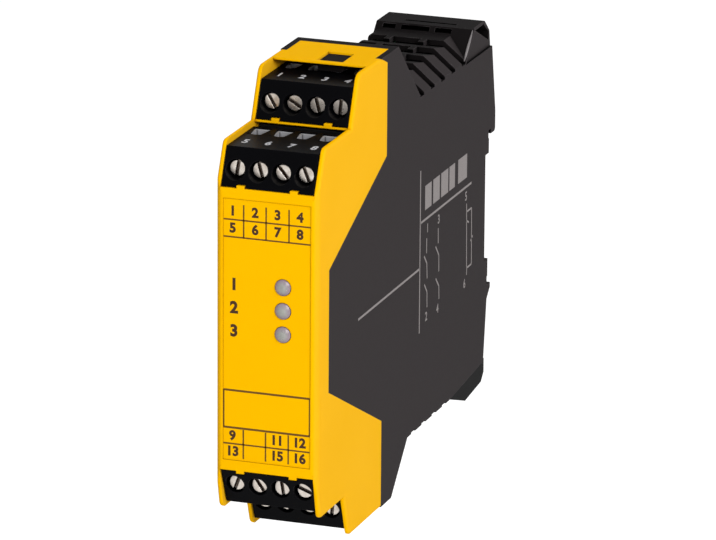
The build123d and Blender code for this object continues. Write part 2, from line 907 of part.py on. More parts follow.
# Main circuit board, standing along the left wall and stepped round the plug bays
behind_header = plug_gap + header_y + header_depth + board_edge_gap
fall = board_edge_gap + shell_wall
top_end_z = top_shelf_z + plug_gap + plug_height - header_depth
bottom_end_z = bottom_shelf_z - plug_gap - plug_height + header_depth
slope_shift = slope_end_y + deck_z - 2 * fall
belly_shift = belly_front_y - belly_z - 2 * fall
board_points = [
    (board_front_y, face_bottom + shelf_wall + board_edge_gap),
    (board_front_y, face_top - shelf_wall - board_edge_gap),
    (front_y + behind_header, face_top - shelf_wall - board_edge_gap),
    (front_y + behind_header, top_shelf_z - shelf_wall - board_edge_gap),
    (top_step_y + behind_header, top_shelf_z - shelf_wall - board_edge_gap),
    (top_step_y + behind_header, top_end_z),
    (slope_shift - top_end_z, top_end_z),
    (slope_shift - deck_z + fall, deck_z - fall),
    (board_rear_y, deck_z - fall),
    (board_rear_y, heel_z + fall),
    (heel_front_y, belly_z + fall),
    (belly_shift + belly_z + fall, belly_z + fall),
    (belly_shift + bottom_end_z, bottom_end_z),
    (bottom_step_y + behind_header, bottom_end_z),
    (bottom_step_y + behind_header, bottom_shelf_z + shelf_wall + board_edge_gap),
    (front_y + behind_header, bottom_shelf_z + shelf_wall + board_edge_gap),
    (front_y + behind_header, face_bottom + shelf_wall + board_edge_gap),
]
save(side_prism(board_points, board_x, board_face_x), "main_board")


# Parts on the board stand along +X from its face
def on_board(place, size):
    x_range = (board_face_x, board_face_x + size[0])
    y_range = around(place[0], size[1])
    z_range = around(place[1], size[2])
    block(x_range, y_range, z_range)


for index, place in enumerate(relay_places, start=1):
    with BuildPart() as relay:
        on_board(place, relay_size)
        fillet(relay.edges().filter_by(Axis.X), relay_radius)
    save(relay.part, f"safety_relay_{index}")

with BuildPart() as supply_capacitors:
    for place in capacitor_places:
        with Locations(Location((board_face_x, *place), (0, 90, 0))):
            Cylinder(capacitor_diameter / 2, capacitor_height, align=from_base)
save(supply_capacitors.part, "supply_capacitors")

with BuildPart() as bridge_rectifier:
    on_board(rectifier_place, rectifier_size)
save(bridge_rectifier.part, "bridge_rectifier")

with BuildPart() as supply_fuse:
    with Locations(Location((board_face_x + fuse_diameter / 2, *fuse_place), (90, 0, 0))):
        Cylinder(fuse_diameter / 2, fuse_length)
save(supply_fuse.part, "supply_fuse")

with BuildPart() as varistor:
    with Locations(Location((board_face_x + varistor_diameter / 2, *varistor_place), (90, 0, 0))):
        Cylinder(varistor_diameter / 2, varistor_thickness)
save(varistor.part, "varistor")

with BuildPart() as logic_chips:
    for place in chip_places:
        on_board(place, chip_size)
save(logic_chips.part, "logic_chips")

# Indicator board behind the front face, with one LED for each lens
with BuildPart() as indicator_board:
    block(
        around(0, indicator_width),
        (indicator_front_y, indicator_front_y + indicator_thickness),
        around(lens_middle_z, indicator_height),
    )
save(indicator_board.part, "indicator_board")

with BuildPart() as status_leds:
    for lens_z in lens_zs:
        block(
            around(lens_x, led_side),
            (indicator_front_y - led_thickness, indicator_front_y),
            around(lens_z, led_side),
        )
save(status_leds.part, "status_leds")

# Status lenses: light guides with a domed front
lens_length = indicator_front_y - led_thickness - led_gap - front_y
lens_radius = lens_diameter / 2
for name, lens_z in zip(lens_names, lens_zs):
    with BuildPart() as lens:
        with BuildSketch(Plane(origin=(lens_x, front_y, lens_z))):
            with BuildLine():
                TangentArc((0, -lens_dome), (lens_radius, 0), tangent=(1, 0))
                Polyline((lens_radius, 0), (lens_radius, lens_length), (0, lens_length), (0, -lens_dome))
            make_face()
        revolve(axis=Axis((lens_x, front_y, lens_z), (0, 1, 0)))
    save(lens.part, name)

# Rail foot: sole plate, stem in the channel and the latch behind the rail's edge
foot_points = [
    (foot_front_y, belly_z - foot_gap),
    (heel_front_y + (belly_z - foot_gap - foot_sole_z), belly_z - foot_gap),
    (foot_rear_y, heel_z - foot_gap),
    (foot_rear_y, foot_heel_z),
    (foot_rear_y - foot_heel_run, foot_heel_z - foot_heel_run),
    (foot_sole_y, foot_sole_z),
]
stem_y = (heel_y - stem_depth, heel_y)
latch_y = (lip_gap, lip_gap + latch_thickness)
with BuildPart() as rail_foot:
    add(side_prism(foot_points, foot_side_gap - half, half - foot_side_gap))
    block(around(0, stem_width), stem_y, (foot_heel_z, -seat_edge_z))
    block(
        around(0, stem_width),
        (heel_y - stem_depth, latch_y[1]),
        (-seat_edge_z - latch_height, -seat_edge_z),
    )
    block(around(0, stem_width), latch_y, (-seat_edge_z - latch_height, latch_overlap - rail_height / 2))
    block(
        around(0, slot_width),
        (channel_floor_y, latch_y[1] + channel_gap),
        (slot_bottom_z, slot_top_z),
        Mode.SUBTRACT,
    )
    latch_edge = rail_foot.edges().filter_by(Axis.X).group_by(Axis.Y)[-1].sort_by(Axis.Z)
    chamfer(latch_edge[0], latch_thickness)
save(rail_foot.part, "rail_foot")

# Foot spring, between the peg and the upper end of the stem's slot
spring_radius = (spring_diameter - spring_wire) / 2
spring_bottom_z = peg_top_z + spring_wire / 2
spring_height = slot_top_z - peg_top_z - spring_wire
spring_y = heel_y - stem_depth / 2


def coil_point(step):
    turn = step / spring_steps
    rise = spring_height * turn / spring_turns
    return (spring_radius * cos(2 * pi * turn), spring_radius * sin(2 * pi * turn), rise)


with BuildPart() as foot_spring:
    with BuildLine(Plane(origin=(0, spring_y, spring_bottom_z))):
        coil = Polyline(*(coil_point(step) for step in range(spring_turns * spring_steps + 1)))
    with BuildSketch(Plane(origin=coil @ 0, z_dir=coil % 0)):
        RegularPolygon(spring_wire / 2, spring_wire_sides)
    sweep(transition=Transition.RIGHT)
save(foot_spring.part, "foot_spring")
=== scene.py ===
import math
import bmesh
import bpy
from mathutils import Matrix, Vector


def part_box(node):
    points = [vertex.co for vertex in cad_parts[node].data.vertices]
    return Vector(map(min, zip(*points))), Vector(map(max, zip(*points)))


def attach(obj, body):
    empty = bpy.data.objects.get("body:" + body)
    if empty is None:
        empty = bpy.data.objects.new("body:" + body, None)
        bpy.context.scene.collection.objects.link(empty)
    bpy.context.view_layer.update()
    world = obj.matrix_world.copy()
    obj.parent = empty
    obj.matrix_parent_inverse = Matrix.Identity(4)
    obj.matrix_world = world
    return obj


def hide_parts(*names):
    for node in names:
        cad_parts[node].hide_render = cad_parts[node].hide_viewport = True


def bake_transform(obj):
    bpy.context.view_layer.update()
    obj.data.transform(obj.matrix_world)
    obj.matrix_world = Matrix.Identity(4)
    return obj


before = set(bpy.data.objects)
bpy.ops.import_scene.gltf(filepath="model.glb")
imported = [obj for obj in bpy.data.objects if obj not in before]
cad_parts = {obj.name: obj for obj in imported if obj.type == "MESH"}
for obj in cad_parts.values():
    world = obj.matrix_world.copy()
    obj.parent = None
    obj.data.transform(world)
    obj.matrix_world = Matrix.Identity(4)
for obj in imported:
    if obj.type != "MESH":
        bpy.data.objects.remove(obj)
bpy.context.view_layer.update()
print("frame loaded,", len(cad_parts), "nodes")

mm = 0.001
scene = bpy.context.scene
scene.view_settings.view_transform = "Standard"

# camera, at the photograph's viewing angle: places in millimetres, clip distances in metres
cameraPlace = {
    "azimuth": 19.45,
    "elevation": 16.62,
    "roll": 0.40,
    "target": (0, -60.3, -19.93),
    "distance": 1367.1,
    "moveRight": 2.21,
    "moveUp": 20.23,
    "focalLength": 321.88,
    "nearest": 0.05,
    "farthest": 20,
}


def makeCamera(place):
    azimuth, elevation, roll = (math.radians(place[key]) for key in ("azimuth", "elevation", "roll"))
    level = math.cos(elevation)
    backwards = Vector((math.sin(azimuth) * level, -math.cos(azimuth) * level, math.sin(elevation)))
    levelRight = Vector((math.cos(azimuth), math.sin(azimuth), 0))
    levelUp = backwards.cross(levelRight)
    right = math.cos(roll) * levelRight + math.sin(roll) * levelUp
    up = math.cos(roll) * levelUp - math.sin(roll) * levelRight
    spot = Vector(place["target"]) + place["distance"] * backwards
    spot += place["moveRight"] * right + place["moveUp"] * up
    camera = bpy.data.objects.new("camera", bpy.data.cameras.new("camera"))
    camera.data.lens = place["focalLength"]
    camera.data.clip_start = place["nearest"]
    camera.data.clip_end = place["farthest"]
    turned = Matrix((right, up, backwards)).transposed().to_4x4()
    camera.matrix_world = Matrix.Translation(spot * mm) @ turned
    scene.collection.objects.link(camera)
    scene.camera = camera


makeCamera(cameraPlace)
print("camera placed")

# lamps: a broad one in front on the right, a low one that reaches under the roof, and one at the back.
# distances and sizes are in metres. The sky is even
lampSettings = {
    "broadLamp": {"azimuth": 46, "elevation": 34, "distance": 1.2, "size": 0.7, "watts": 11.6},
    "lowLamp": {"azimuth": 14, "elevation": 6, "distance": 1.3, "size": 0.5, "watts": 1.6},
    "rearLamp": {"azimuth": 150, "elevation": 40, "distance": 1.4, "size": 0.6, "watts": 4.0},
}
skyLevel = 0.42


def makeLamp(name, lamp):
    azimuth, elevation = math.radians(lamp["azimuth"]), math.radians(lamp["elevation"])
    level = math.cos(elevation)
    towards = Vector((math.sin(azimuth) * level, -math.cos(azimuth) * level, math.sin(elevation)))
    data = bpy.data.lights.new(name, "AREA")
    data.size = lamp["size"]
    data.energy = lamp["watts"]
    lampObject = bpy.data.objects.new(name, data)
    lampObject.location = Vector(cameraPlace["target"]) * mm + towards * lamp["distance"]
    lampObject.rotation_euler = towards.to_track_quat("Z", "Y").to_euler()
    scene.collection.objects.link(lampObject)


def addNode(tree, kind, inputs=None, **settings):
    node = tree.nodes.new(kind)
    for key, value in settings.items():
        setattr(node, key, value)
    for key, value in (inputs or {}).items():
        if isinstance(value, bpy.types.NodeSocket):
            tree.links.new(value, node.inputs[key])
        else:
            node.inputs[key].default_value = value
    return node


def addMath(tree, operation, *values, clamp=False):
    return addNode(
        tree, "ShaderNodeMath", dict(enumerate(values)), operation=operation, use_clamp=clamp
    ).outputs[0]


def addRange(tree, value, start, end, low=0.0, high=1.0):
    return addNode(
        tree, "ShaderNodeMapRange", {0: value, 1: start, 2: end, 3: low, 4: high}
    ).outputs[0]


def fromMiddle(tree, noise):
    # noise runs from 0 to 1, so this swings round 0
    return addMath(tree, "SUBTRACT", noise, 0.5)


def mixColours(tree, factor, first, second):
    # the colour sockets of a Mix node are inputs 6 and 7 and output 2
    return addNode(
        tree, "ShaderNodeMix", {0: factor, 6: first, 7: second}, data_type="RGBA"
    ).outputs[2]


def seenDirectly(tree):
    # 1 for camera, glossy and transmission rays
    path = addNode(tree, "ShaderNodeLightPath")
    most = addMath(tree, "MAXIMUM", path.outputs["Is Camera Ray"], path.outputs["Is Glossy Ray"])
    return addMath(tree, "MAXIMUM", most, path.outputs["Is Transmission Ray"])


def makeSky():
    world = bpy.data.worlds.new("studioSky")
    scene.world = world
    world.use_nodes = True
    tree = world.node_tree
    tree.nodes.clear()
    level = addRange(tree, seenDirectly(tree), 0.0, 1.0, skyLevel, 1.0)
    sky = addNode(tree, "ShaderNodeBackground", {"Color": (1, 1, 1, 1), "Strength": level})
    addNode(tree, "ShaderNodeOutputWorld", {"Surface": sky.outputs[0]})


# height in millimetres, side in metres
floorLook = {
    "height": -160.0,
    "side": 8.0,
    "segments": 4,
    "colour": (0.82, 0.82, 0.82, 1),
    "glow": 0.50,
}


def makeFloor(look):
    bm = bmesh.new()
    segments = look["segments"]
    bmesh.ops.create_grid(bm, x_segments=segments, y_segments=segments, size=look["side"] / 2)
    bmesh.ops.translate(bm, verts=bm.verts, vec=(0, 0, look["height"] * mm))
    mesh = bpy.data.meshes.new("studioFloor")
    bm.to_mesh(mesh)
    bm.free()
    floor = bpy.data.objects.new("studioFloor", mesh)
    scene.collection.objects.link(floor)
    material = bpy.data.materials.new("floorPaper")
    material.use_nodes = True
    tree = material.node_tree
    tree.nodes.clear()
    paper = addNode(tree, "ShaderNodeBsdfDiffuse", {"Color": look["colour"]})
    strength = addMath(tree, "MULTIPLY", seenDirectly(tree), look["glow"])
    glow = addNode(tree, "ShaderNodeEmission", {"Strength": strength})
    both = addNode(tree, "ShaderNodeAddShader", {0: paper.outputs[0], 1: glow.outputs[0]})
    addNode(tree, "ShaderNodeOutputMaterial", {"Surface": both.outputs[0]})
    mesh.materials.append(material)


for lampName, lamp in lampSettings.items():
    makeLamp(lampName, lamp)
makeSky()
makeFloor(floorLook)
print("studio lit")


# shared effects, each a node group with its own sockets
def newGroup(name, inputs, outputs):
    group = bpy.data.node_groups.new(name, "ShaderNodeTree")
    for label, value in inputs.items():
        socket = group.interface.new_socket(name=label, in_out="INPUT", socket_type="NodeSocketFloat")
        socket.default_value = value
    for label, kind in outputs.items():
        group.interface.new_socket(name=label, in_out="OUTPUT", socket_type=kind)
    given = addNode(group, "NodeGroupInput").outputs
    result = addNode(group, "NodeGroupOutput").inputs
    return group, given, result


def objectPlace(tree):
    return addNode(tree, "ShaderNodeTexCoord").outputs["Object"]


def objectNoise(tree, size, detail, stretch=None):
    # size is in millimetres
    place = objectPlace(tree)
    if stretch:
        place = addNode(tree, "ShaderNodeMapping", {"Vector": place, "Scale": stretch}).outputs[0]
    scale = addMath(tree, "DIVIDE", 1 / mm, size)
    noise = addNode(tree, "ShaderNodeTexNoise", {"Vector": place, "Scale": scale, "Detail": detail})
    return noise.outputs[0]


grainMix = {"fineShare": 0.65, "pitShare": 0.35, "fineDetail": 3.0, "cloudDetail": 4.0}


def makeMouldGrain(mix):
    # fine spark-eroded texture with slow changes of gloss
    group, given, result = newGroup(
        "mouldGrain",
        {"Grain Size": 0.4, "Cloud Size": 14.0, "Roughness": 0.5, "Roughness Spread": 0.12},
        {"Height": "NodeSocketFloat", "Roughness": "NodeSocketFloat", "Cloud": "NodeSocketFloat"},
    )
    fine = objectNoise(group, given["Grain Size"], mix["fineDetail"])
    pitScale = addMath(group, "DIVIDE", 1 / mm, given["Grain Size"])
    pits = addNode(group, "ShaderNodeTexVoronoi", {"Vector": objectPlace(group), "Scale": pitScale})
    cloud = objectNoise(group, given["Cloud Size"], mix["cloudDetail"])
    grainHeight = addMath(group, "MULTIPLY", fine, mix["fineShare"])
    height = addMath(group, "MULTIPLY_ADD", pits.outputs["Distance"], mix["pitShare"], grainHeight)
    swing = addMath(group, "ADD", fromMiddle(group, cloud), fromMiddle(group, fine))
    gloss = addMath(group, "MULTIPLY_ADD", swing, given["Roughness Spread"], given["Roughness"])
    group.links.new(height, result["Height"])
    group.links.new(addMath(group, "ADD", gloss, 0, clamp=True), result["Roughness"])
    group.links.new(cloud, result["Cloud"])
    return group


edgeWearHighlightLook = {"samples": 6, "patchDetail": 5.0, "patchFrom": 0.38, "patchTo": 0.62}


def makeEdgeWearAndHighlight(look):
    # softens sharp edges and marks where they are rubbed; the edge colour under this mask also paints
    # a highlight along the edges
    group, given, result = newGroup(
        "edgeWearAndHighlight",
        {"Edge Radius": 0.3, "Gain": 3.0, "Patch Size": 5.0},
        {"Mask": "NodeSocketFloat", "Normal": "NodeSocketVector"},
    )
    radius = addMath(group, "MULTIPLY", given["Edge Radius"], mm)
    rounded = addNode(group, "ShaderNodeBevel", {"Radius": radius}, samples=look["samples"]).outputs[0]
    flat = addNode(group, "ShaderNodeNewGeometry").outputs["Normal"]
    same = addNode(group, "ShaderNodeVectorMath", {0: rounded, 1: flat}, operation="DOT_PRODUCT")
    turn = addMath(group, "SUBTRACT", 1.0, same.outputs["Value"])
    cloud = objectNoise(group, given["Patch Size"], look["patchDetail"])
    patches = addRange(group, cloud, look["patchFrom"], look["patchTo"])
    strength = addMath(group, "MULTIPLY", turn, given["Gain"])
    group.links.new(addMath(group, "MULTIPLY", strength, patches, clamp=True), result["Mask"])
    group.links.new(rounded, result["Normal"])
    return group


dustLook = {
    "levelFrom": 0.3, "levelTo": 1.0, "patchDetail": 6.0,
    "speckSize": 0.35, "speckDetail": 2.0, "speckFrom": 0.45, "speckTo": 0.75,
    "colour": (0.42, 0.39, 0.35, 1),
}


def makeDust(look):
    # a thin dust on what faces up
    group, given, result = newGroup(
        "dust", {"Amount": 0.2, "Patch Size": 6.0}, {"Mask": "NodeSocketFloat"}
    )
    normal = addNode(group, "ShaderNodeNewGeometry").outputs["Normal"]
    upwards = addNode(group, "ShaderNodeSeparateXYZ", {0: normal}).outputs["Z"]
    facing = addRange(group, upwards, look["levelFrom"], look["levelTo"])
    patches = objectNoise(group, given["Patch Size"], look["patchDetail"])
    specks = objectNoise(group, look["speckSize"], look["speckDetail"])
    specks = addRange(group, specks, look["speckFrom"], look["speckTo"])
    both = addMath(group, "MULTIPLY", facing, addMath(group, "MULTIPLY", patches, specks))
    group.links.new(addMath(group, "MULTIPLY", both, given["Amount"], clamp=True), result["Mask"])
    return group


paintedShadeSamples = 8


def makePaintedCreviceShade():
    # painted shade: 1 deep in slots and corners of the same piece, which are darkened as if shaded, 0
    # in the open
    group, given, result = newGroup(
        "paintedCreviceShade", {"Reach": 1.0, "Start": 0.90, "End": 0.50}, {"Mask": "NodeSocketFloat"}
    )
    reach = addMath(group, "MULTIPLY", given["Reach"], mm)
    openness = addNode(
        group, "ShaderNodeAmbientOcclusion", {"Distance": reach},
        samples=paintedShadeSamples, only_local=True,
    )
    depth = addRange(group, openness.outputs["AO"], given["Start"], given["End"])
    group.links.new(depth, result["Mask"])
    return group


mouldGrain = makeMouldGrain(grainMix)
edgeWearAndHighlight = makeEdgeWearAndHighlight(edgeWearHighlightLook)
dust = makeDust(dustLook)
paintedCreviceShade = makePaintedCreviceShade()


def placeGroup(tree, group, values):
    node = addNode(tree, "ShaderNodeGroup", node_tree=group)
    for label, value in values.items():
        node.inputs[label].default_value = value
    return node.outputs


def newMaterial(name):
    material = bpy.data.materials.new(name)
    material.use_nodes = True
    tree = material.node_tree
    return material, tree, tree.nodes["Principled BSDF"]


# how far a face is turned sideways where its painted side light starts, and where it is full
sideLightStart, sideLightFull = 0.25, 0.65


def paintedSideLight(tree):
    # painted light: 1 on the side panels, whose colour stands in for how the light falls on the sides,
    # 0 on what faces forwards, backwards, up or down
    normal = addNode(tree, "ShaderNodeNewGeometry").outputs["Normal"]
    across = addNode(tree, "ShaderNodeSeparateXYZ", {0: normal}).outputs["X"]
    return addRange(tree, addMath(tree, "ABSOLUTE", across), sideLightStart, sideLightFull)


def addBump(tree, shader, strength, depth, height, normal):
    values = {"Strength": strength, "Distance": depth * mm, "Height": height, "Normal": normal}
    bump = addNode(tree, "ShaderNodeBump", values)
    tree.links.new(bump.outputs[0], shader.inputs["Normal"])


grainDepth = 0.05


def mouldedPlastic(name, look):
    material, tree, shader = newMaterial(name)
    grainValues = {"Grain Size": look["grainSize"], "Roughness": look["roughness"]}
    grain = placeGroup(tree, mouldGrain, grainValues)
    edges = placeGroup(tree, edgeWearAndHighlight, {"Edge Radius": look["edgeRadius"], "Gain": look["edgeGain"]})
    fallen = placeGroup(tree, dust, {"Amount": look["dust"]})
    body = mixColours(tree, grain["Cloud"], look["colour"], look["colourBy"])
    # painted light: sideways faces take the side colour, which paints how the light falls on the sides
    if "sideLightColour" in look:
        sideLight = mixColours(tree, grain["Cloud"], look["sideLightColour"], look["sideLightColourBy"])
        body = mixColours(tree, paintedSideLight(tree), body, sideLight)
    # the edge colour marks wear and paints a highlight along the edges
    rubbedAndHighlit = mixColours(tree, edges["Mask"], body, look["edgeWearHighlightColour"])
    dusty = mixColours(tree, fallen["Mask"], rubbedAndHighlit, dustLook["colour"])
    # painted shade: slots and corners are darkened with the crevice colour
    if "paintedShadeColour" in look:
        paintedShade = placeGroup(tree, paintedCreviceShade, {"Reach": look["paintedShadeReach"]})
        dusty = mixColours(tree, paintedShade["Mask"], dusty, look["paintedShadeColour"])
    tree.links.new(dusty, shader.inputs["Base Color"])
    tree.links.new(grain["Roughness"], shader.inputs["Roughness"])
    addBump(tree, shader, look["bump"], grainDepth, grain["Height"], edges["Normal"])
    shader.inputs["Specular IOR Level"].default_value = look["specular"]
    return material


metalWear = {
    "edgeGain": 2.0, "streakDetail": 4.0, "streakDepth": 0.02, "stainSize": 1.6, "stainDetail": 5.0,
    "glossSwing": 0.3,
}


def platedMetal(name, look, wear):
    material, tree, shader = newMaterial(name)
    edges = placeGroup(tree, edgeWearAndHighlight, {"Edge Radius": look["edgeRadius"], "Gain": wear["edgeGain"]})
    streaks = objectNoise(tree, look["streakSize"], wear["streakDetail"], look["stretch"])
    stains = objectNoise(tree, wear["stainSize"], wear["stainDetail"])
    stains = addMath(tree, "MULTIPLY", stains, look["stain"], clamp=True)
    body = mixColours(tree, streaks, look["colour"], look["colourBy"])
    stained = mixColours(tree, stains, body, look["stainColour"])
    # the edge colour marks wear and paints a highlight along the edges
    highlitAndShaded = mixColours(tree, edges["Mask"], stained, look["edgeWearHighlightColour"])
    # painted shade: the slot and corners of the metal are darkened with the crevice colour
    paintedShade = placeGroup(tree, paintedCreviceShade, {"Reach": look["paintedShadeReach"]})
    highlitAndShaded = mixColours(tree, paintedShade["Mask"], highlitAndShaded, look["paintedShadeColour"])
    swing = fromMiddle(tree, streaks)
    gloss = addMath(tree, "MULTIPLY_ADD", swing, wear["glossSwing"], look["roughness"])
    tree.links.new(highlitAndShaded, shader.inputs["Base Color"])
    tree.links.new(gloss, shader.inputs["Roughness"])
    addBump(tree, shader, look["bump"], wear["streakDepth"], streaks, edges["Normal"])
    shader.inputs["Metallic"].default_value = look.get("metallic", 1.0)
    return material


def clearLens(name, look):
    # three lenses in a column share it: the colour goes by the distance from the nearest one's axis
    material, tree, shader = newMaterial(name)
    cloud = objectNoise(tree, look["cloudSize"], look["cloudDetail"])
    parts = addNode(tree, "ShaderNodeSeparateXYZ", {0: objectPlace(tree)}).outputs
    axisX, middleZ = (value * mm for value in look["middle"])
    halfPitch = look["pitch"] * mm / 2
    across = addMath(tree, "SUBTRACT", parts["X"], axisX)
    upwards = addMath(tree, "SUBTRACT", parts["Z"], middleZ)
    upwards = addMath(tree, "WRAP", upwards, halfPitch, -halfPitch)
    squares = (addMath(tree, "MULTIPLY", offset, offset) for offset in (across, upwards))
    distance = addMath(tree, "SQRT", addMath(tree, "ADD", *squares))
    rim = addRange(tree, distance, look["rimStart"] * mm, look["radius"] * mm)
    body = mixColours(tree, cloud, look["colour"], look["colourBy"])
    tree.links.new(mixColours(tree, rim, body, look["rimColour"]), shader.inputs["Base Color"])
    gloss = addMath(tree, "MULTIPLY_ADD", cloud, look["glossSwing"], look["roughness"])
    tree.links.new(gloss, shader.inputs["Roughness"])
    shader.inputs["Transmission Weight"].default_value = look["clearness"]
    shader.inputs["IOR"].default_value = look["ior"]
    return material


def boardMask(name, look):
    # solder mask with the tracks showing through as a paler green
    material, tree, shader = newMaterial(name)
    quarterTurn = (0, math.pi / 2, 0)
    turned = addNode(tree, "ShaderNodeMapping", {"Vector": objectPlace(tree), "Rotation": quarterTurn})
    tracks = addNode(tree, "ShaderNodeTexBrick", {
        "Vector": turned.outputs[0], "Scale": 1 / mm, "Mortar Size": look["trackWidth"],
        "Brick Width": look["trackLength"], "Row Height": look["trackPitch"],
    }).outputs["Fac"]
    weave = objectNoise(tree, look["weaveSize"], look["weaveDetail"])
    woven = addMath(tree, "MULTIPLY", weave, look["weaveShare"])
    body = mixColours(tree, tracks, look["colour"], look["trackColour"])
    tree.links.new(mixColours(tree, woven, body, look["weaveColour"]), shader.inputs["Base Color"])
    bump = {"Strength": look["bump"], "Distance": look["trackDepth"] * mm, "Height": tracks}
    tree.links.new(addNode(tree, "ShaderNodeBump", bump).outputs[0], shader.inputs["Normal"])
    gloss = addMath(tree, "MULTIPLY_ADD", weave, look["glossSwing"], look["roughness"])
    tree.links.new(gloss, shader.inputs["Roughness"])
    return material


# the crevice colours in these looks are painted shade for slots and corners
plasticLooks = {
    "housing_black": {
        "colour": (0.0062, 0.0052, 0.0054, 1), "colourBy": (0.0084, 0.0072, 0.0075, 1),
        # painted highlight: the pale edge colour lights the housing's edges, besides their wear
        "edgeWearHighlightColour": (0.085, 0.076, 0.078, 1),
        # painted light: the side colour makes the side panels lighter, as if lit from the side
        "sideLightColour": (0.0270, 0.0232, 0.0240, 1), "sideLightColourBy": (0.0330, 0.0285, 0.0295, 1),
        "roughness": 0.62, "grainSize": 0.30, "bump": 0.35, "specular": 0.015, "edgeRadius": 0.25,
        "edgeGain": 3.2, "dust": 0.004,
        "paintedShadeReach": 2.2, "paintedShadeColour": (0.0004, 0.0004, 0.0004, 1),
    },
    "cover_yellow": {
        "colour": (0.93, 0.480, 0.0002, 1), "colourBy": (0.90, 0.455, 0.0002, 1),
        "edgeWearHighlightColour": (0.95, 0.55, 0.01, 1),
        # painted light: the side colour stands in for how the light falls on the cover's sides
        "sideLightColour": (0.83, 0.435, 0.0110, 1), "sideLightColourBy": (0.80, 0.412, 0.0085, 1),
        "roughness": 0.50, "grainSize": 0.26, "bump": 0.22, "specular": 0.004, "edgeRadius": 0.3,
        "edgeGain": 1.6, "dust": 0.0,
        "paintedShadeReach": 2.0, "paintedShadeColour": (0.34, 0.13, 0.0010, 1),
    },
    # painted shade: the plug black is darker than the housing's, standing in for the shade the
    # recessed plugs sit in
    "plug_black": {
        "colour": (0.0006, 0.0006, 0.0010, 1), "colourBy": (0.0012, 0.0012, 0.0018, 1),
        "edgeWearHighlightColour": (0.020, 0.019, 0.023, 1),
        "roughness": 0.42, "grainSize": 0.22, "bump": 0.20, "specular": 0.03, "edgeRadius": 0.22,
        "edgeGain": 2.4, "dust": 0.006,
        "paintedShadeReach": 1.2, "paintedShadeColour": (0.0003, 0.0003, 0.0005, 1),
    },
    "foot_black": {
        "colour": (0.0014, 0.0013, 0.0014, 1), "colourBy": (0.0024, 0.0022, 0.0024, 1),
        "edgeWearHighlightColour": (0.022, 0.020, 0.022, 1),
        "roughness": 0.50, "grainSize": 0.28, "bump": 0.30, "specular": 0.02, "edgeRadius": 0.25,
        "edgeGain": 2.4, "dust": 0.004,
        "paintedShadeReach": 1.6, "paintedShadeColour": (0.0006, 0.0006, 0.0006, 1),
    },
    "header_black": {
        "colour": (0.006, 0.006, 0.0065, 1), "colourBy": (0.009, 0.009, 0.0095, 1),
        "edgeWearHighlightColour": (0.03, 0.03, 0.032, 1),
        "roughness": 0.48, "grainSize": 0.20, "bump": 0.20, "specular": 0.25, "edgeRadius": 0.15,
        "edgeGain": 2.0, "dust": 0.05,
    },
    "relay_case": {
        "colour": (0.62, 0.60, 0.55, 1), "colourBy": (0.70, 0.68, 0.62, 1),
        "edgeWearHighlightColour": (0.80, 0.78, 0.72, 1),
        "roughness": 0.38, "grainSize": 0.30, "bump": 0.15, "specular": 0.40, "edgeRadius": 0.30,
        "edgeGain": 1.5, "dust": 0.10,
    },
    "capacitor_sleeve": {
        "colour": (0.012, 0.018, 0.052, 1), "colourBy": (0.018, 0.026, 0.070, 1),
        "edgeWearHighlightColour": (0.10, 0.11, 0.16, 1),
        "roughness": 0.28, "grainSize": 0.60, "bump": 0.10, "specular": 0.50, "edgeRadius": 0.25,
        "edgeGain": 1.5, "dust": 0.05,
    },
    "chip_black": {
        "colour": (0.012, 0.012, 0.013, 1), "colourBy": (0.020, 0.020, 0.021, 1),
        "edgeWearHighlightColour": (0.06, 0.06, 0.06, 1),
        "roughness": 0.60, "grainSize": 0.18, "bump": 0.40, "specular": 0.30, "edgeRadius": 0.12,
        "edgeGain": 1.5, "dust": 0.05,
    },
    "fuse_case": {
        "colour": (0.55, 0.50, 0.38, 1), "colourBy": (0.62, 0.57, 0.45, 1),
        "edgeWearHighlightColour": (0.72, 0.68, 0.58, 1),
        "roughness": 0.35, "grainSize": 0.40, "bump": 0.12, "specular": 0.40, "edgeRadius": 0.20,
        "edgeGain": 1.5, "dust": 0.05,
    },
    "varistor_blue": {
        "colour": (0.010, 0.055, 0.230, 1), "colourBy": (0.016, 0.080, 0.290, 1),
        "edgeWearHighlightColour": (0.08, 0.18, 0.42, 1),
        "roughness": 0.40, "grainSize": 0.90, "bump": 0.50, "specular": 0.45, "edgeRadius": 0.30,
        "edgeGain": 1.5, "dust": 0.05,
    },
    "led_white": {
        "colour": (0.74, 0.72, 0.62, 1), "colourBy": (0.80, 0.78, 0.66, 1),
        "edgeWearHighlightColour": (0.85, 0.83, 0.75, 1),
        "roughness": 0.30, "grainSize": 0.30, "bump": 0.10, "specular": 0.50, "edgeRadius": 0.12,
        "edgeGain": 1.0, "dust": 0.0,
    },
}
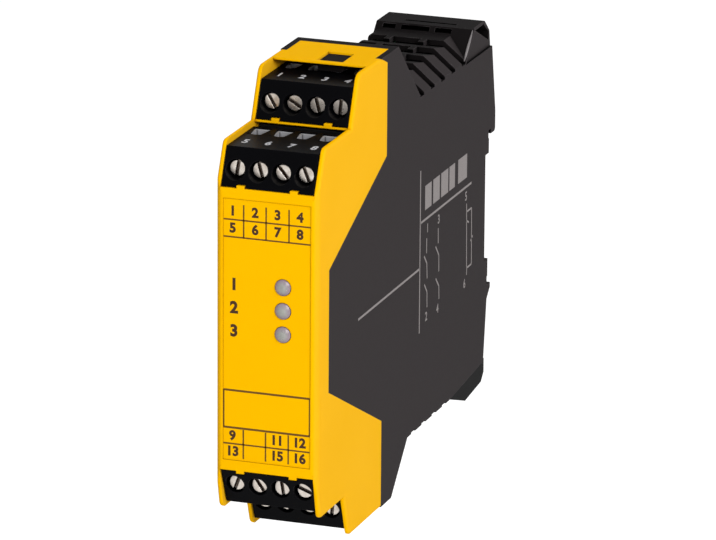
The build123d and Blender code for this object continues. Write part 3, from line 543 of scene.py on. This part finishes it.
# the crevice colours in these looks are painted shade for slots and corners
metalLooks = {
    "screw_steel": {
        "colour": (0.95, 0.92, 0.87, 1), "colourBy": (0.60, 0.53, 0.46, 1),
        "stainColour": (0.20, 0.14, 0.10, 1), "edgeWearHighlightColour": (0.96, 0.94, 0.90, 1),
        "roughness": 0.30, "streakSize": 0.9, "stretch": (1, 2, 1), "stain": 0.75, "bump": 0.45,
        "edgeRadius": 0.18,
        "paintedShadeReach": 1.1, "paintedShadeColour": (0.020, 0.009, 0.004, 1),
    },
    "clamp_plated": {
        "colour": (0.56, 0.56, 0.58, 1), "colourBy": (0.42, 0.42, 0.44, 1),
        "stainColour": (0.28, 0.27, 0.27, 1), "edgeWearHighlightColour": (0.62, 0.60, 0.60, 1),
        "roughness": 0.50, "streakSize": 0.7, "stretch": (1, 1, 4), "stain": 0.30, "bump": 0.25,
        "edgeRadius": 0.12, "metallic": 0.6,
        "paintedShadeReach": 0.6, "paintedShadeColour": (0.06, 0.055, 0.05, 1),
    },
    "contact_brass": {
        "colour": (0.72, 0.58, 0.36, 1), "colourBy": (0.62, 0.48, 0.28, 1),
        "stainColour": (0.40, 0.29, 0.16, 1), "edgeWearHighlightColour": (0.86, 0.76, 0.56, 1),
        "roughness": 0.32, "streakSize": 0.6, "stretch": (4, 1, 1), "stain": 0.30, "bump": 0.20,
        "edgeRadius": 0.10,
        "paintedShadeReach": 0.6, "paintedShadeColour": (0.06, 0.055, 0.05, 1),
    },
    "pin_tinned": {
        "colour": (0.70, 0.70, 0.69, 1), "colourBy": (0.58, 0.58, 0.57, 1),
        "stainColour": (0.40, 0.39, 0.37, 1), "edgeWearHighlightColour": (0.85, 0.85, 0.84, 1),
        "roughness": 0.35, "streakSize": 0.6, "stretch": (1, 4, 1), "stain": 0.25, "bump": 0.20,
        "edgeRadius": 0.08,
        "paintedShadeReach": 0.6, "paintedShadeColour": (0.06, 0.055, 0.05, 1),
    },
    "spring_steel": {
        "colour": (0.50, 0.50, 0.50, 1), "colourBy": (0.38, 0.38, 0.38, 1),
        "stainColour": (0.22, 0.21, 0.20, 1), "edgeWearHighlightColour": (0.70, 0.70, 0.70, 1),
        "roughness": 0.34, "streakSize": 0.4, "stretch": (1, 1, 1), "stain": 0.25, "bump": 0.15,
        "edgeRadius": 0.06,
        "paintedShadeReach": 0.6, "paintedShadeColour": (0.06, 0.055, 0.05, 1),
    },
}
lensLook = {
    "colour": (0.56, 0.56, 0.52, 1), "colourBy": (0.40, 0.41, 0.37, 1),
    "rimColour": (0.40, 0.30, 0.38, 1),
    "roughness": 0.22, "glossSwing": 0.08, "clearness": 0.40, "ior": 1.49,
    "cloudSize": 1.2, "cloudDetail": 3.0,
    "middle": (3.5, 6.6), "pitch": 5.05, "rimStart": 0.6, "radius": 1.7,
}
boardLook = {
    "colour": (0.010, 0.085, 0.030, 1), "trackColour": (0.030, 0.170, 0.060, 1),
    "weaveColour": (0.020, 0.130, 0.050, 1), "roughness": 0.32, "glossSwing": 0.15,
    "trackWidth": 0.22, "trackLength": 7.0, "trackPitch": 2.5, "trackDepth": 0.05, "bump": 0.4,
    "weaveSize": 0.5, "weaveDetail": 2.0, "weaveShare": 0.3,
}

finishes = {name: mouldedPlastic(name, look) for name, look in plasticLooks.items()}
finishes.update({name: platedMetal(name, look, metalWear) for name, look in metalLooks.items()})
finishes["lens_lilac"] = clearLens("lens_lilac", lensLook)
finishes["board_green"] = boardMask("board_green", boardLook)

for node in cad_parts.values():
    for materialSlot in node.material_slots:
        slotName = materialSlot.material.name.split(".")[0]
        materialSlot.material = finishes[slotName]
print("finishes on", len(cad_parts), "nodes")

# prints: thin ink drawn in (right, up) millimetres and laid on a face
inkDepth = 0.02
inkLooks = {
    "frontInk": {
        "colour": (0.035, 0.014, 0.006, 1), "colourBy": (0.070, 0.030, 0.008, 1), "roughness": 0.5,
    },
    "ruleInk": {
        "colour": (0.110, 0.048, 0.004, 1), "colourBy": (0.160, 0.072, 0.005, 1), "roughness": 0.5,
    },
    "sideInk": {
        "colour": (0.255, 0.232, 0.228, 1), "colourBy": (0.180, 0.162, 0.160, 1), "roughness": 0.6,
    },
    "plugInk": {
        "colour": (0.560, 0.560, 0.580, 1), "colourBy": (0.360, 0.360, 0.380, 1), "roughness": 0.6,
    },
}
inkWear = {"patchSize": 0.35, "patchDetail": 4.0, "glossSwing": 0.2, "specular": 0.2}


def inkFinish(name, look, wear):
    material, tree, shader = newMaterial(name)
    worn = objectNoise(tree, wear["patchSize"], wear["patchDetail"])
    gloss = addMath(tree, "MULTIPLY_ADD", worn, wear["glossSwing"], look["roughness"])
    body = mixColours(tree, worn, look["colour"], look["colourBy"])
    tree.links.new(body, shader.inputs["Base Color"])
    tree.links.new(gloss, shader.inputs["Roughness"])
    shader.inputs["Specular IOR Level"].default_value = wear["specular"]
    return material


inks = {name: inkFinish(name, look, inkWear) for name, look in inkLooks.items()}


def facePlane(right, up, through):
    # takes (right, up, out) millimetres to the row frame, in metres
    right, up = Vector(right), Vector(up)
    axes = Matrix((right, up, right.cross(up))).transposed().to_4x4()
    return Matrix.Scale(mm, 4) @ Matrix.Translation(Vector(through)) @ axes


def addBar(bm, start, end, width):
    start, end = Vector(start), Vector(end)
    along = end - start
    place = Matrix.Translation(((start + end) / 2).to_3d())
    turn = Matrix.Rotation(math.atan2(along.y, along.x), 4, "Z")
    size = Matrix.Diagonal((along.length, width, inkDepth, 1))
    bmesh.ops.create_cube(bm, size=1, matrix=place @ turn @ size)


def addLines(bm, strokes, width):
    for stroke in strokes:
        for start, end in zip(stroke, stroke[1:]):
            addBar(bm, start, end, width)


# the built-in font's figures are this share of its size, and its curves take this many steps
figureShare = 0.73
curveSteps = 4


def addNumber(bm, words, middle, height, weight, squeeze=1.0):
    data = bpy.data.curves.new("numberLine", "FONT")
    data.body = words
    data.size = height / figureShare
    data.align_x, data.align_y = "CENTER", "CENTER"
    data.offset = weight * height
    data.extrude = inkDepth / 2
    data.resolution_u = curveSteps
    line = bpy.data.objects.new("numberLine", data)
    scene.collection.objects.link(line)
    bpy.context.view_layer.update()
    mesh = bpy.data.meshes.new_from_object(line)
    mesh.transform(Matrix.Translation((*middle, 0)) @ Matrix.Diagonal((squeeze, 1, 1, 1)))
    bm.from_mesh(mesh)
    bpy.data.objects.remove(line)
    bpy.data.meshes.remove(mesh)


def makePiece(name, bm, material, plane=Matrix.Scale(mm, 4)):
    # bm is drawn in millimetres, and the plane takes it to metres
    bmesh.ops.transform(bm, matrix=plane, verts=bm.verts)
    mesh = bpy.data.meshes.new(name)
    bm.to_mesh(mesh)
    bm.free()
    mesh.materials.append(material)
    piece = bpy.data.objects.new(name, mesh)
    scene.collection.objects.link(piece)
    return piece


weldDistance = 0.001


def finishPrint(name, bm, plane, ink, body):
    bmesh.ops.remove_doubles(bm, verts=bm.verts, dist=weldDistance)
    bmesh.ops.recalc_face_normals(bm, faces=bm.faces)
    piece = makePiece(name, bm, inks[ink], plane)
    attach(piece, body)


frontMarks = {
    "faceY": -110.15,
    "height": 2.05,
    "weight": 0.065,
    "line": 0.34,
    "fieldLine": 0.46,
    "columns": (-7.5, -2.6, 2.3, 7.2),
    "rules": (-5.1, -0.2, 4.8),
    "upperRows": {26.9: ("1", "2", "3", "4"), 23.25: ("5", "6", "7", "8")},
    "upperRules": ((25.1, 21.4), (28.4, 21.4)),
    "lowerRows": {-21.5: ("9", "", "11", "12"), -24.9: ("13", "", "15", "16")},
    "lowerRules": ((-23.2,), (-20.0, -26.3)),
    "lampNumbers": {11.2: "1", 6.2: "2", 1.2: "3"},
    "lampNumberX": -7.2,
    "lampNumberHeight": 2.5,
    "field": ((-9.5, -19.7), (9.5, -11.6)),
    "reach": (-9.5, 9.5),
}


def makeFrontPrint(marks):
    face = facePlane((1, 0, 0), (0, 0, 1), (0, marks["faceY"], 0))
    bm = bmesh.new()
    left, right = marks["reach"]
    for flats, (top, bottom) in (marks["upperRules"], marks["lowerRules"]):
        addLines(bm, [((left, z), (right, z)) for z in flats], marks["line"])
        addLines(bm, [((x, top), (x, bottom)) for x in marks["rules"]], marks["line"])
    (x0, z0), (x1, z1) = marks["field"]
    addLines(bm, [((x0, z0), (x1, z0), (x1, z1), (x0, z1), (x0, z0))], marks["fieldLine"])
    finishPrint("frontRules", bm, face, "ruleInk", "relay_body")
    bm = bmesh.new()
    for rows in (marks["upperRows"], marks["lowerRows"]):
        for z, numbers in rows.items():
            for x, number in zip(marks["columns"], numbers):
                if number:
                    addNumber(bm, number, (x, z), marks["height"], marks["weight"])
    for z, number in marks["lampNumbers"].items():
        addNumber(bm, number, (marks["lampNumberX"], z), marks["lampNumberHeight"], marks["weight"])
    finishPrint("frontNumbers", bm, face, "frontInk", "relay_body")


sideMarks = {
    "faceX": 11.25,
    "line": 0.52,
    "thinLine": 0.42,
    "rules": (
        ((-46.2, 20.5), (-46.2, -15.8)), ((-46.2, 8.8), (-11.9, 8.8)), ((-85.6, -1.4), (-46.2, -1.3)),
    ),
    "bars": ((-43.1, -38.9), (-37.8, -33.5), (-32.5, -27.8), (-27.0, -23.3), (-21.1, -15.1)),
    "barHeights": (10.9, 16.3),
    "contacts": (
        ((-41.8, 4.3), (-41.8, 1.0)), ((-43.4, 0.7), (-41.6, -1.3), (-41.3, -4.8)),
        ((-43.1, -5.7), (-41.3, -7.8), (-41.2, -11.3)),
        ((-34.2, 4.5), (-34.1, 1.1)), ((-35.8, 0.8), (-33.6, -1.7), (-33.5, -5.4)),
        ((-35.5, -6.5), (-33.4, -8.7), (-33.2, -11.7)),
        ((-15.1, 4.9), (-15.0, 3.0), (-14.6, -9.9)),
        ((-15.0, 3.0), (-11.6, 3.0), (-11.3, -9.9), (-14.6, -9.9)),
        ((-15.0, 1.0), (-13.4, 0.2)), ((-14.5, -9.9), (-14.6, -11.5)), ((-12.2, -4.4), (-10.6, -3.6)),
    ),
    "numbers": (
        ("1", (-41.3, 6.4)), ("2", (-41.7, -13.3)), ("3", (-33.9, 6.4)), ("4", (-34.2, -13.7)),
        ("5", (-15.5, 6.6)), ("6", (-16.0, -13.2)),
    ),
    "numberHeight": 2.0,
    "weight": 0.03,
}


def makeSidePrint(marks):
    bm = bmesh.new()
    addLines(bm, marks["rules"], marks["line"])
    addLines(bm, marks["contacts"], marks["thinLine"])
    low, high = marks["barHeights"]
    for start, end in marks["bars"]:
        addBar(bm, (start, (low + high) / 2), (end, (low + high) / 2), high - low)
    for number, middle in marks["numbers"]:
        addNumber(bm, number, middle, marks["numberHeight"], marks["weight"])
    face = facePlane((0, 1, 0), (0, 0, 1), (marks["faceX"], 0, 0))
    finishPrint("sidePrint", bm, face, "sideInk", "relay_body")


plugMarks = {
    "height": 2.7,
    "weight": 0.04,
    "squeeze": 0.72,
    "poles": (-7.5, -2.5, 2.5, 7.5),
    "inset": 7.4,
    "plugs": {
        "top_front": ("5", "6", "7", "8"),
        "top_rear": ("1", "2", "3", "4"),
        "bottom_front": ("9", "10", "11", "12"),
        "bottom_rear": ("13", "14", "15", "16"),
    },
}


def plugDeck(place):
    # in millimetres: the front edge and the height of the marked face, which looks up or down
    low, high = (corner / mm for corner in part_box("plug_" + place))
    upward = 1 if low.z > 0 else -1
    surface = high.z if upward > 0 else low.z
    return low.y, surface, upward


def makePlugMarks(place, numbers, marks):
    front, surface, upward = plugDeck(place)
    markY = upward * (front + marks["inset"])
    bm = bmesh.new()
    for pole, number in zip(marks["poles"], numbers):
        addNumber(bm, number, (pole, markY), marks["height"], marks["weight"], marks["squeeze"])
    face = facePlane((1, 0, 0), (0, upward, 0), (0, 0, surface))
    finishPrint("plugMarks_" + place, bm, face, "plugInk", "plug_" + place)


# the wire funnels narrow towards the front, between lips that slope inwards
funnelLips = {
    "front": 12.95,
    "rear": 18.45,
    "outer": 2.05,
    "inner": 1.05,
    "rearInner": 2.0,
    "depth": 0.27,
    "edge": 0.05,
    "edgeSteps": 2,
    "edgeProfile": 0.5,
}


def makeFunnelLips(place, poles, lips):
    front, surface, upward = plugDeck(place)
    bm = bmesh.new()
    for pole in poles:
        for side in (-1, 1):
            outline = (
                (lips["outer"], lips["front"]), (lips["inner"], lips["front"]),
                (lips["rearInner"], lips["rear"]), (lips["outer"], lips["rear"]),
            )
            corners = [bm.verts.new((pole + side * x, front + y, surface)) for x, y in outline]
            face = bm.faces.new(corners)
            grown = bmesh.ops.extrude_face_region(bm, geom=[face])["geom"]
            deeper = [part for part in grown if isinstance(part, bmesh.types.BMVert)]
            bmesh.ops.translate(bm, verts=deeper, vec=(0, 0, -upward * lips["depth"]))
    bmesh.ops.recalc_face_normals(bm, faces=bm.faces)
    bmesh.ops.bevel(
        bm, geom=bm.edges[:], offset=lips["edge"], segments=lips["edgeSteps"],
        profile=lips["edgeProfile"], affect="EDGES", material=-1,
    )
    piece = makePiece("funnelLips_" + place, bm, finishes["plug_black"])
    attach(piece, "plug_" + place)


# the rear block's corner edge carries a painted highlight: a pale bead that swells in the middle and
# fades out
cornerBead = {
    "x": 10.94,
    "top": (-11.35, 43.05),
    "bottom": (-16.95, 37.45),
    "radii": (0.08, 0.20, 0.27, 0.30, 0.27, 0.12),
    "sides": 8,
}
# painted highlight: black plastic made pale, as if the edge caught the light
paintedEdgeHighlight = {
    "colour": (0.20, 0.185, 0.187, 1), "colourBy": (0.15, 0.136, 0.138, 1),
    "edgeWearHighlightColour": (0.22, 0.205, 0.205, 1),
    "roughness": 0.45, "grainSize": 0.20, "bump": 0.20, "specular": 0.2, "edgeRadius": 0.05,
    "edgeGain": 1.0, "dust": 0.0,
}


def makeCornerBead(bead):
    bm = bmesh.new()
    top = Vector((bead["x"], *bead["top"]))
    bottom = Vector((bead["x"], *bead["bottom"]))
    along = (bottom - top).normalized()
    across = Vector((1, 0, 0))
    outwards = along.cross(across)
    rings = []
    for step, radius in enumerate(bead["radii"]):
        middle = top.lerp(bottom, step / (len(bead["radii"]) - 1))
        ring = []
        for side in range(bead["sides"]):
            angle = 2 * math.pi * side / bead["sides"]
            offset = math.cos(angle) * across + math.sin(angle) * outwards
            ring.append(bm.verts.new(middle + radius * offset))
        rings.append(ring)
    edges = [bm.edges.new((a, b)) for ring in rings for a, b in zip(ring, ring[1:] + ring[:1])]
    bmesh.ops.bridge_loops(bm, edges=edges)
    for ring in (rings[0], rings[-1]):
        bm.faces.new(ring)
    bmesh.ops.recalc_face_normals(bm, faces=bm.faces)
    for face in bm.faces:
        face.smooth = True
    piece = makePiece("cornerBead", bm, mouldedPlastic("paintedEdgeHighlight", paintedEdgeHighlight))
    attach(piece, "relay_body")


# the foot's spring, a round wire with closed end turns
footSpring = {
    "middle": (0.0, -3.9),
    "bottom": -31.46,
    "top": -22.51,
    "diameter": 2.9,
    "wire": 0.45,
    "turns": 6.5,
    "closedTurns": 0.8,
    "steps": 26,
    "sides": 8,
    "probe": 0.01,
}


def coilPoint(spring, turn):
    height = spring["top"] - spring["bottom"] - spring["wire"]
    closed = spring["closedTurns"]
    pitch = (height - 2 * closed * spring["wire"]) / (spring["turns"] - 2 * closed)
    openTurns = min(max(turn - closed, 0), spring["turns"] - 2 * closed)
    rise = spring["wire"] * (turn - openTurns) + pitch * openTurns
    radius = (spring["diameter"] - spring["wire"]) / 2
    angle = 2 * math.pi * turn
    middleX, middleY = spring["middle"]
    return Vector((
        middleX + radius * math.cos(angle),
        middleY + radius * math.sin(angle),
        spring["bottom"] + spring["wire"] / 2 + rise,
    ))


def makeFootSpring(spring):
    bm = bmesh.new()
    steps = round(spring["turns"] * spring["steps"])
    last = None
    for step in range(steps + 1):
        turn = step / spring["steps"]
        middle = coilPoint(spring, turn)
        ahead = coilPoint(spring, turn + spring["probe"])
        along = (ahead - coilPoint(spring, turn - spring["probe"])).normalized()
        outwards = Vector((math.cos(2 * math.pi * turn), math.sin(2 * math.pi * turn), 0))
        upwards = along.cross(outwards).normalized()
        ring = []
        for side in range(spring["sides"]):
            angle = 2 * math.pi * side / spring["sides"]
            offset = math.cos(angle) * outwards + math.sin(angle) * upwards
            ring.append(bm.verts.new(middle + offset * spring["wire"] / 2))
        if last:
            for side in range(spring["sides"]):
                follower = (side + 1) % spring["sides"]
                bm.faces.new((last[side], last[follower], ring[follower], ring[side]))
        if step in (0, steps):
            bm.faces.new(ring)
        last = ring
    bmesh.ops.recalc_face_normals(bm, faces=bm.faces)
    for face in bm.faces:
        face.smooth = len(face.verts) == 4
    piece = makePiece("footSpring", bm, finishes["spring_steel"])
    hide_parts("foot_spring")
    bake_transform(piece)


makeFrontPrint(frontMarks)
makeSidePrint(sideMarks)
print("print laid on the cover and the housing")
makeCornerBead(cornerBead)
makeFootSpring(footSpring)
print("corner bead and foot spring made")
for plugPlace, plugNumbers in plugMarks["plugs"].items():
    makePlugMarks(plugPlace, plugNumbers, plugMarks)
    makeFunnelLips(plugPlace, plugMarks["poles"], funnelLips)
print("numbers and funnel lips made on", len(plugMarks["plugs"]), "plugs")
